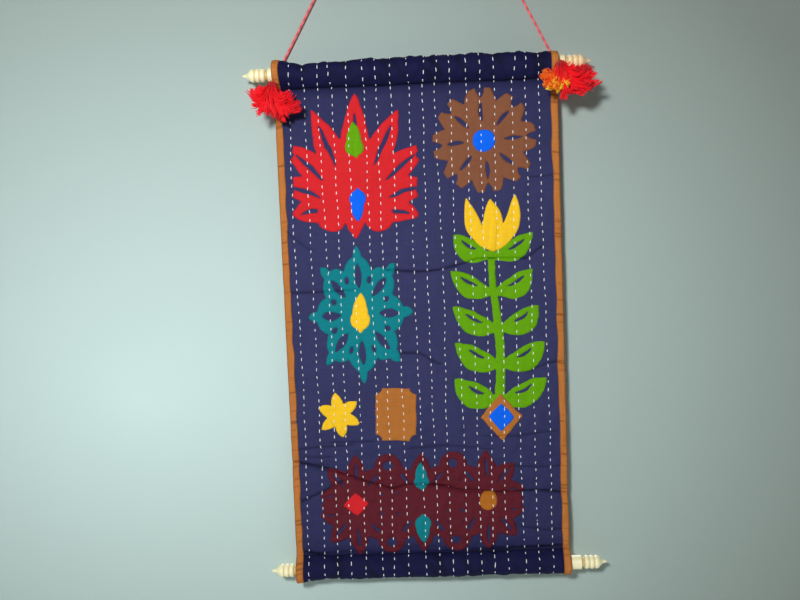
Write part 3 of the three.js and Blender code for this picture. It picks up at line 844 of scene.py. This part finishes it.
# Each end's route in mm, with x growing outward: the tail from the pompom, then after the
# turn under the rod the foot of the straight leg.
CORD_ENDS = [
    (
        -1,
        [(152.6, -11.6, -14.6), (152.0, -10.8, -12.8), (151.8, -9.2, -11.4), (151.7, -6.6, -10.2)],
        [
            (153.2, 9.4, -5.6), (154.2, 13.4, -2.8), (152.8, 16.8, 0.4),
            (149.2, 17.5, 3.8), (145.4, 17.5, 9.4), (140.9, 17.4, 17.0),
        ],
    ),
    (
        1,
        [(152.6, -15.6, -8.4), (151.8, -14.1, -7.2), (151.7, -11.6, -7.2), (151.7, -7.8, -8.6)],
        [
            (153.2, 9.2, -5.6), (154.2, 13.0, -2.6), (153.4, 15.8, 0.8),
            (150.8, 16.6, 4.8), (147.8, 16.8, 10.2), (144.4, 16.8, 17.0),
        ],
    ),
]


def cord_end(side, tail, foot):
    """One end's points: the tail, five places on a circle round the rod, and the foot."""
    turn = np.radians(np.linspace(-75, -125, 5))
    under = np.stack([np.full(5, CORD_OUT), -CORD_TURN * np.cos(turn), CORD_TURN * np.sin(turn)], -1)
    return np.concatenate([tail, under, foot]) * (side, 1, 1) * MM


def through_points(points, steps):
    """A smooth curve through points: on each stretch the cubic whose slopes are worked out
    from the distances to the neighbours' square roots, with steps places a stretch."""
    ends = np.concatenate([[2 * points[0] - points[1]], points, [2 * points[-1] - points[-2]]])
    knots = np.concatenate([[0], np.cumsum(np.sqrt(np.linalg.norm(np.diff(ends, axis=0), axis=1)))])
    pieces = []
    for i in range(1, len(ends) - 2):
        t0, t1, t2, t3 = knots[i - 1 : i + 3]
        p0, p1, p2, p3 = ends[i - 1 : i + 3]
        slope1 = ((p1 - p0) / (t1 - t0) - (p2 - p0) / (t2 - t0) + (p2 - p1) / (t2 - t1)) * (t2 - t1)
        slope2 = ((p2 - p1) / (t2 - t1) - (p3 - p1) / (t3 - t1) + (p3 - p2) / (t3 - t2)) * (t2 - t1)
        count = steps if np.linalg.norm(p2 - p1) < 20 * MM else 8 * steps
        t = np.linspace(0, 1, count, endpoint=False)[:, None]
        cubic = 2 * p1 - 2 * p2 + slope1 + slope2
        square = -3 * p1 + 3 * p2 - 2 * slope1 - slope2
        pieces.append(((cubic * t + square) * t + slope1) * t + p1)
    return np.concatenate([*pieces, points[-1:]])


def even_steps(path, step):
    """The same path with its places about step apart."""
    walked = np.concatenate([[0], np.cumsum(np.linalg.norm(np.diff(path, axis=0), axis=1))])
    places = np.linspace(0, walked[-1], int(walked[-1] / step) + 1)
    return np.stack([np.interp(places, walked, path[:, i]) for i in range(3)], -1), places


def carried_frames(paths):
    """Two unit vectors square to each path at each place, carried along it with the least
    turn. paths holds one path or many, places along the last but one axis."""
    tangent = np.gradient(paths, axis=-2)
    tangent /= np.linalg.norm(tangent, axis=-1, keepdims=True)
    first = np.cross(tangent[..., 0, :], np.where(np.abs(tangent[..., 0, 2:]) < 0.8, (0, 0, 1), (0, 1, 0)))
    across = np.empty_like(paths)
    for i in range(paths.shape[-2]):
        along = tangent[..., i, :]
        first = first - along * (first * along).sum(-1, keepdims=True)
        first = first / np.linalg.norm(first, axis=-1, keepdims=True)
        across[..., i, :] = first
    return across, np.cross(tangent, across)


def tube(paths, radius, sides, turn=0.0):
    """Closed tubes along many paths (tube, place, xyz): points, quads, end triangles and the
    cut coordinates, which are the way round and the way along. radius may differ for each
    tube, place and side, and turn twists the section."""
    across, up = carried_frames(paths)
    tubes, places = paths.shape[:2]
    angle = 2 * np.pi * np.arange(sides) / sides + np.asarray(turn)[..., None]
    radius = np.broadcast_to(radius, (tubes, places, sides))[..., None]
    ring = np.cos(angle)[..., None] * across[..., None, :] + np.sin(angle)[..., None] * up[..., None, :]
    points, quads, caps = closed_rings(paths[..., None, :] + radius * ring)
    walked = np.cumsum(np.linalg.norm(np.diff(paths, axis=1, prepend=paths[:, :1]), axis=2), axis=1)
    cut = np.stack(np.broadcast_arrays(np.arange(sides) * 0.5 * MM, walked[..., None]), -1)
    cut = cut.reshape(tubes, -1, 2)
    return points, quads, caps, np.concatenate([cut, cut[:, :1], cut[:, -1:]], axis=1)


legs = [cord_end(*end) for end in CORD_ENDS]
bend_angle = np.radians(np.arange(150, 29, -30))
bend = np.stack([
    HANG_X + (NAIL + CORD / 2) * np.cos(bend_angle),
    np.full(bend_angle.shape, HANG_Y),
    HANG_Z - NAIL + (NAIL + CORD / 2) * np.sin(bend_angle),
], -1)
cord_route = through_points(np.concatenate([legs[0], bend, legs[1][::-1]]), 8) + ORIGIN
cord_path, cord_places = even_steps(cord_route, 1.0 * MM)
side_angle = 2 * np.pi * np.arange(15) / 15
strands = CORD / 2 * (0.86 + 0.14 * np.abs(np.cos(1.5 * side_angle)) ** 0.7)
cord_points, cord_quads, cord_caps, cord_cut = tube(
    cord_path[None], strands, 15, (2 * np.pi * cord_places / CORD_LAY)[None]
)
hanger_cord = new_piece("hanger_cord_twisted", cord_points, cord_quads, cord_caps, uv=cord_cut)
hanger_cord.data.materials.append(yarn_like("red cord", CORD_RED, dye(246, 124, 126), 700))
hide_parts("hanger_cord")

# ---- Rods ---------------------------------------------------------------------------
# Two wooden rods turned from one piece each, with beads, a collar and a pointed tip at both
# ends, under a thin cream varnish. They lie loose in the casings.

ROD_SIDES = 48

# The tip's outline in mm: distance from the end, then radius.
TIP = np.array([
    (0, 0), (0.6, 0.8), (2.6, 1.5), (4.8, 2.2), (6.4, 3.6), (8.6, 5.7), (10.2, 6.8), (11.8, 7.2),
    (13.3, 6.8), (14.2, 5.7), (15.1, 6.8), (17.0, 7.3), (18.7, 6.8), (19.6, 5.7), (20.5, 6.8),
    (22.4, 7.3), (24.0, 6.8), (25.2, 5.4), (27.4, 5.4), (28.4, 7.5), (30.0, 7.5),
]) * MM


def varnished_wood(name, warm_end):
    """Pale varnished wood: long grain along the rod, lathe rings round it, darker in the grooves (its groove
    attribute) and a warmer tone towards warm_end, an x in metres."""
    shade, link = new_material(name, 0.45, Coat_Weight=0.12, Coat_Roughness=0.35)
    place = shade.node("ShaderNodeTexCoord", None, None, 3)
    grain = shade.noise(shade.stretched(place, (14, 260, 260)), 1.0, 5.0)
    rings = shade.noise(shade.stretched(place, (1700, 6, 6)), 1.0, 2.0)
    pale = grain.clamped(0.3, 0.72).blend((*dye(248, 238, 184), 1), (*dye(255, 251, 214), 1))
    base = shade.parts(place)[0].clamped(warm_end - 0.05, warm_end).blend(pale, (*dye(240, 204, 156), 1))
    base = (shade.attribute("groove") * 0.8).blend(base, (*dye(196, 158, 88), 1))
    return link(Base_Color=base, Normal=shade.bump(grain * 0.3 + rings, 0.12 * MM, 0.5))


for node, warm_end in (("rod_top", 0.175), ("rod_bottom", 0.3)):
    low, high = map(np.array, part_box(node))
    middle_y, middle_z = (low[1:] + high[1:]) / 2
    tip = through_points(np.pad(TIP, ((0, 0), (0, 1))), 4)
    station = np.concatenate([low[0] + tip[:, 0], (high[0] - tip[:, 0])[::-1]])
    radius = np.concatenate([tip[:, 1], tip[::-1, 1]])
    radius[[0, -1]] = 0.05 * MM
    from_end = np.minimum(station - low[0], high[0] - station)
    grooved = (from_end > 12 * MM) * np.clip((6.5 * MM - radius) / (0.9 * MM), 0, 1)
    turn = 2 * np.pi * np.arange(ROD_SIDES) / ROD_SIDES
    y, z = middle_y + radius[:, None] * np.cos(turn), middle_z + radius[:, None] * np.sin(turn)
    points, quads, caps = closed_rings(np.stack(np.broadcast_arrays(station[:, None], y, z), -1)[None])
    groove = np.concatenate([np.repeat(grooved, ROD_SIDES), [0, 0]])
    piece = new_piece(f"{node}_turned", points, quads, caps, groove=groove)
    piece.data.materials.append(varnished_wood(f"{node} varnish", warm_end))
    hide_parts(node)

# ---- Pompoms ------------------------------------------------------------------------
# A bundle of cut yarn is tied round each tail of the cord and splays from its tie, matted
# in the middle and jagged at the ends. The right one has an orange tuft with yellow tips.

YARN_RADIUS = 0.45 * MM


def tuft(neck, tips, count, depth, seed):
    """Paths of count strands, in metres, gathered in locks of about twenty. A lock leaves the
    neck for a place between two neighbouring tips, falls short of the line between them by a
    random share, sags, bows forward or back by up to depth, and curls by two sine waves; its
    strands keep near it, a little longer or shorter, each with a small curl of its own."""
    draw = np.random.default_rng(seed)
    neck, tips = np.array(neck) * MM, np.array(tips) * MM
    locks = count // 20
    lock = draw.integers(0, locks, count)
    at = draw.uniform(0, len(tips) - 1, locks)[lock] + draw.normal(0, 0.09, count)
    at = np.clip(at, 0, len(tips) - 1.001)
    low = at.astype(int)
    share = at - low
    share = (share - 0.08 * np.sin(2 * np.pi * share))[:, None]
    reach = 1.08 - 0.6 * draw.beta(0.9, 2.0, (locks, 1))[lock] - 0.22 * draw.beta(1, 2, (count, 1))
    reach *= 1 - 0.1 * np.sin(np.pi * share)
    root = neck + draw.normal(0, 1.6 * MM, (count, 3))
    end = root + (tips[low] * (1 - share) + tips[low + 1] * share - root) * reach
    end += draw.normal(0, 2.0 * MM, (locks, 3))[lock] + draw.normal(0, 0.7 * MM, (count, 3))
    sag = np.abs(end - root)[:, None, :1] * 0.38
    t = np.linspace(0, 1, 7)[None, :, None]
    bow = draw.uniform(-1, 1, (locks, 1))[lock] + draw.normal(0, 0.12, (count, 1))
    bow = (depth * MM * bow * np.sqrt(reach))[:, None]
    swell = np.sin(np.pi * t**0.7) ** 0.8
    phase = draw.uniform(0, 6.28, (2, locks, 1, 3))[:, lock] + draw.normal(0, 0.4, (2, count, 1, 3))
    curl = (1.6 * np.sin(4.5 * t + phase[0]) + 0.8 * np.sin(11 * t + phase[1])) * MM * t**0.6
    path = root[:, None] * (1 - t) + end[:, None] * t + curl
    return ORIGIN + path + bow * swell * (0.15, 1, 0.12) - sag * np.sin(np.pi * t) * (0, 0, 1)


def yarn_strands(name, paths, root, middle, tip, seed):
    """A piece of many strands, shaded from root to tip, each a little lighter or darker."""
    strands_in, places = paths.shape[:2]
    taper = np.array([1.0, 1, 1.05, 1.1, 1.05, 0.95, 0.6])[None, :, None]
    points, quads, caps, cut = tube(paths, YARN_RADIUS * taper, 4)
    share = np.repeat(np.linspace(0, 1, places), 4)
    share = np.tile(np.concatenate([share, [0, 1]]), strands_in)
    tone = np.repeat(np.random.default_rng(seed).uniform(0, 1, strands_in), places * 4 + 2)
    piece = new_piece(name, points, quads, caps, uv=cut, share=share, tone=tone)
    shade, link = new_material(name, 0.8, Sheen_Weight=0.06, Specular_IOR_Level=0.25)
    share, tone = shade.attribute("share"), shade.attribute("tone")
    fuzz = shade.noise(shade.node("ShaderNodeTexCoord", None, None, 3), 1600.0)
    inner = share.clamped(0.1, 0.55).blend((*root, 1), (*middle, 1))
    base = (share + tone * 0.25).clamped(0.72, 1.15).blend(inner, (*tip, 1))
    base = (tone * 0.7 + fuzz * 0.5).clamped(0.2, 0.75).blend(inner, base)
    piece.data.materials.append(link(Base_Color=base, Normal=shade.bump(fuzz, 0.15 * MM, 0.7)))
    return piece


def tie(name, neck, towards):
    """Five close turns of yarn round a bundle's neck, square to the way it hangs."""
    neck, axis = np.array(neck) * MM, np.array(towards, float)
    axis /= np.linalg.norm(axis)
    first = np.cross(axis, (0, 0, 1))
    first /= np.linalg.norm(first)
    turn = np.linspace(0, 10 * np.pi, 100)[:, None]
    round_neck = first * np.cos(turn) + np.cross(axis, first) * np.sin(turn)
    path = ORIGIN + neck + round_neck * 3.0 * MM + axis * (turn / (10 * np.pi) - 0.2) * 4.2 * MM
    points, quads, caps, cut = tube(path[None], 0.5 * MM, 6)
    piece = new_piece(name, points, quads, caps, uv=cut)
    piece.data.materials.append(yarn_like(name, dye(188, 8, 22), dye(240, 60, 70), 2600))


# Tips in order round each splay, in mm.
reds = dye(214, 0, 16), dye(244, 4, 24), dye(254, 30, 46)
left_neck, right_neck = (-149.0, -14.5, -14.5), (150.0, -18.0, -6.5)
left_tips = [
    (-143, -18, -23), (-134, -23, -32), (-120, -21, -34), (-123, -21, -38), (-137, -24, -45),
    (-140, -20, -53), (-151, -25, -46), (-163, -23, -44), (-168, -21, -37), (-172, -18, -26),
    (-175, -17, -17),
]
right_tips = [
    (145, -27, -31), (149, -29, -43), (158, -31, -40), (171, -30, -39), (180, -29, -32),
    (185, -28, -24), (181, -27, -17), (168, -23, -14),
]
orange_tips = [(150, -33, -30), (141, -35, -34), (132, -34, -29), (124, -32, -21), (133, -29, -15)]
yellow_tips = [(160, -39, -40), (152, -38, -33), (145, -38, -39), (135, -36, -33), (131, -34, -26)]
oranges = dye(232, 14, 16), dye(242, 66, 8), dye(236, 118, 20)
yellows = dye(242, 66, 8), dye(250, 140, 16), dye(254, 212, 44)
left_pompom = yarn_strands("pompom_left_yarn", tuft(left_neck, left_tips, 1900, 9.5, 71), *reds, 1)
right_pompom = yarn_strands("pompom_right_yarn", tuft(right_neck, right_tips, 2000, 10.5, 72), *reds, 2)
yarn_strands("pompom_right_orange", tuft(right_neck, orange_tips, 480, 5, 73), *oranges, 3)
yarn_strands("pompom_right_yellow", tuft(right_neck, yellow_tips, 260, 3, 74), *yellows, 4)
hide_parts("pompom_left")
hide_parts("pompom_right")
tie("pompom_left_tie", left_neck, (-0.3, -0.3, -1))
tie("pompom_right_tie", right_neck, (0.3, -0.5, -0.8))

# ---- Wall, floor, camera and light --------------------------------------------------
# The hanging is on a pale wall, lit by one soft lamp above and to the left of the camera.
# The wall's colour holds a painted pool of light. It can't be seen from behind, and it lets the lamps' light
# through.

WALL_Y = 6 * MM
FLOOR_Z = -0.95


def stage_plane(name, corners, material):
    mesh = bpy.data.meshes.new(name)
    mesh.from_pydata(corners, [], [(0, 1, 2, 3)])
    plane = bpy.data.objects.new(name, mesh)
    bpy.context.scene.collection.objects.link(plane)
    mesh.materials.append(material)


shade, link = new_material("wall with painted light", 0.95)
place = shade.node("ShaderNodeTexCoord", None, None, 3)
# Painted light: the wall is brightest round a place to the left of the hanging and darker outward.
sockets = {"Vector": place, "Location": (-0.33, 0, -0.62), "Scale": (0.6, 1, 0.4)}
glow = shade.node("ShaderNodeMapping", {"vector_type": "TEXTURE"}, sockets)
away = shade.node("ShaderNodeVectorMath", {"operation": "LENGTH"}, {0: glow}, 1)
painted = away.clamped(0, 1.5).blend((*dye(204, 228, 225), 1), (*dye(132, 142, 136), 1))
wall = link(Base_Color=painted)
surface = wall.node_tree.nodes["Principled BSDF"]
behind = shade.node("ShaderNodeNewGeometry", None, None, 6)
unseen = shade.maths("MAXIMUM", behind, shade.node("ShaderNodeLightPath", None, None, 1))
clear = shade.node("ShaderNodeBsdfTransparent")
sockets = {0: unseen, 1: Shade(shade.tree, surface.outputs[0]), 2: clear}
mixed = shade.node("ShaderNodeMixShader", None, sockets)
shade.tree.links.new(mixed.socket, wall.node_tree.nodes["Material Output"].inputs[0])
corners = [(-1.8, WALL_Y, FLOOR_Z), (1.8, WALL_Y, FLOOR_Z), (1.8, WALL_Y, 1.2), (-1.8, WALL_Y, 1.2)]
stage_plane("wall", corners, wall)
_, link = new_material("floor", 0.9, Base_Color=(*dye(214, 218, 214), 1))
corners = [(-1.8, -1.8, FLOOR_Z), (1.8, -1.8, FLOOR_Z), (1.8, 1.8, FLOOR_Z), (-1.8, 1.8, FLOOR_Z)]
stage_plane("floor", corners, link())


def lamp(name, spot, aim, size, power):
    """A square area lamp at spot that faces aim."""
    light = bpy.data.lights.new(name, "AREA")
    light.size, light.energy = size, power
    fitting = bpy.data.objects.new(name, light)
    turned = (Vector(spot) - Vector(aim)).to_track_quat("Z", "Y").to_matrix().to_4x4()
    fitting.matrix_world = Matrix.Translation(Vector(spot)) @ turned
    bpy.context.scene.collection.objects.link(fitting)


lamp("key", (-0.27, -1.14, -0.14), (-0.02, 0, -0.5), 0.14, 13.4)
lamp("fill", (0.9, -1.4, -0.4), (0, 0, -0.45), 1.2, 1.2)
lamp("behind", (0.1, 1.4, 0.1), (0, 0, -0.45), 0.8, 17)

camera_data = bpy.data.cameras.new("camera")
camera = bpy.data.objects.new("camera", camera_data)
bpy.context.scene.collection.objects.link(camera)
bpy.context.scene.camera = camera
azimuth, elevation, roll = np.radians([1.58, 3.9, 2.24])
level = np.cos(elevation)
back = np.array([np.sin(azimuth) * level, -np.cos(azimuth) * level, np.sin(elevation)])
right = np.array([np.cos(azimuth), np.sin(azimuth), 0])
up = np.cross(back, right)
tilted_right = np.cos(roll) * right - np.sin(roll) * up
tilted_up = np.sin(roll) * right + np.cos(roll) * up
aim, distance = ORIGIN + (-0.02486, 0, -0.2436), 0.8697
spot = aim + back * distance
turned = Matrix([[*row] for row in np.stack([tilted_right, tilted_up, back], -1)])
camera.matrix_world = Matrix.Translation(Vector(spot)) @ turned.to_4x4()
camera_data.sensor_width = 36
camera_data.lens = 36.4

scene = bpy.context.scene
scene.view_settings.view_transform = "Standard"
scene.world = bpy.data.worlds.new("room")
scene.world.use_nodes = True
shade = Shade(scene.world.node_tree)
backdrop = scene.world.node_tree.nodes["Background"]
backdrop.inputs[0].default_value = (*dye(226, 232, 230), 1)
seen = shade.node("ShaderNodeLightPath", None, None, 0)
shade.tree.links.new((seen * 0.84 + 0.06).socket, backdrop.inputs[1])
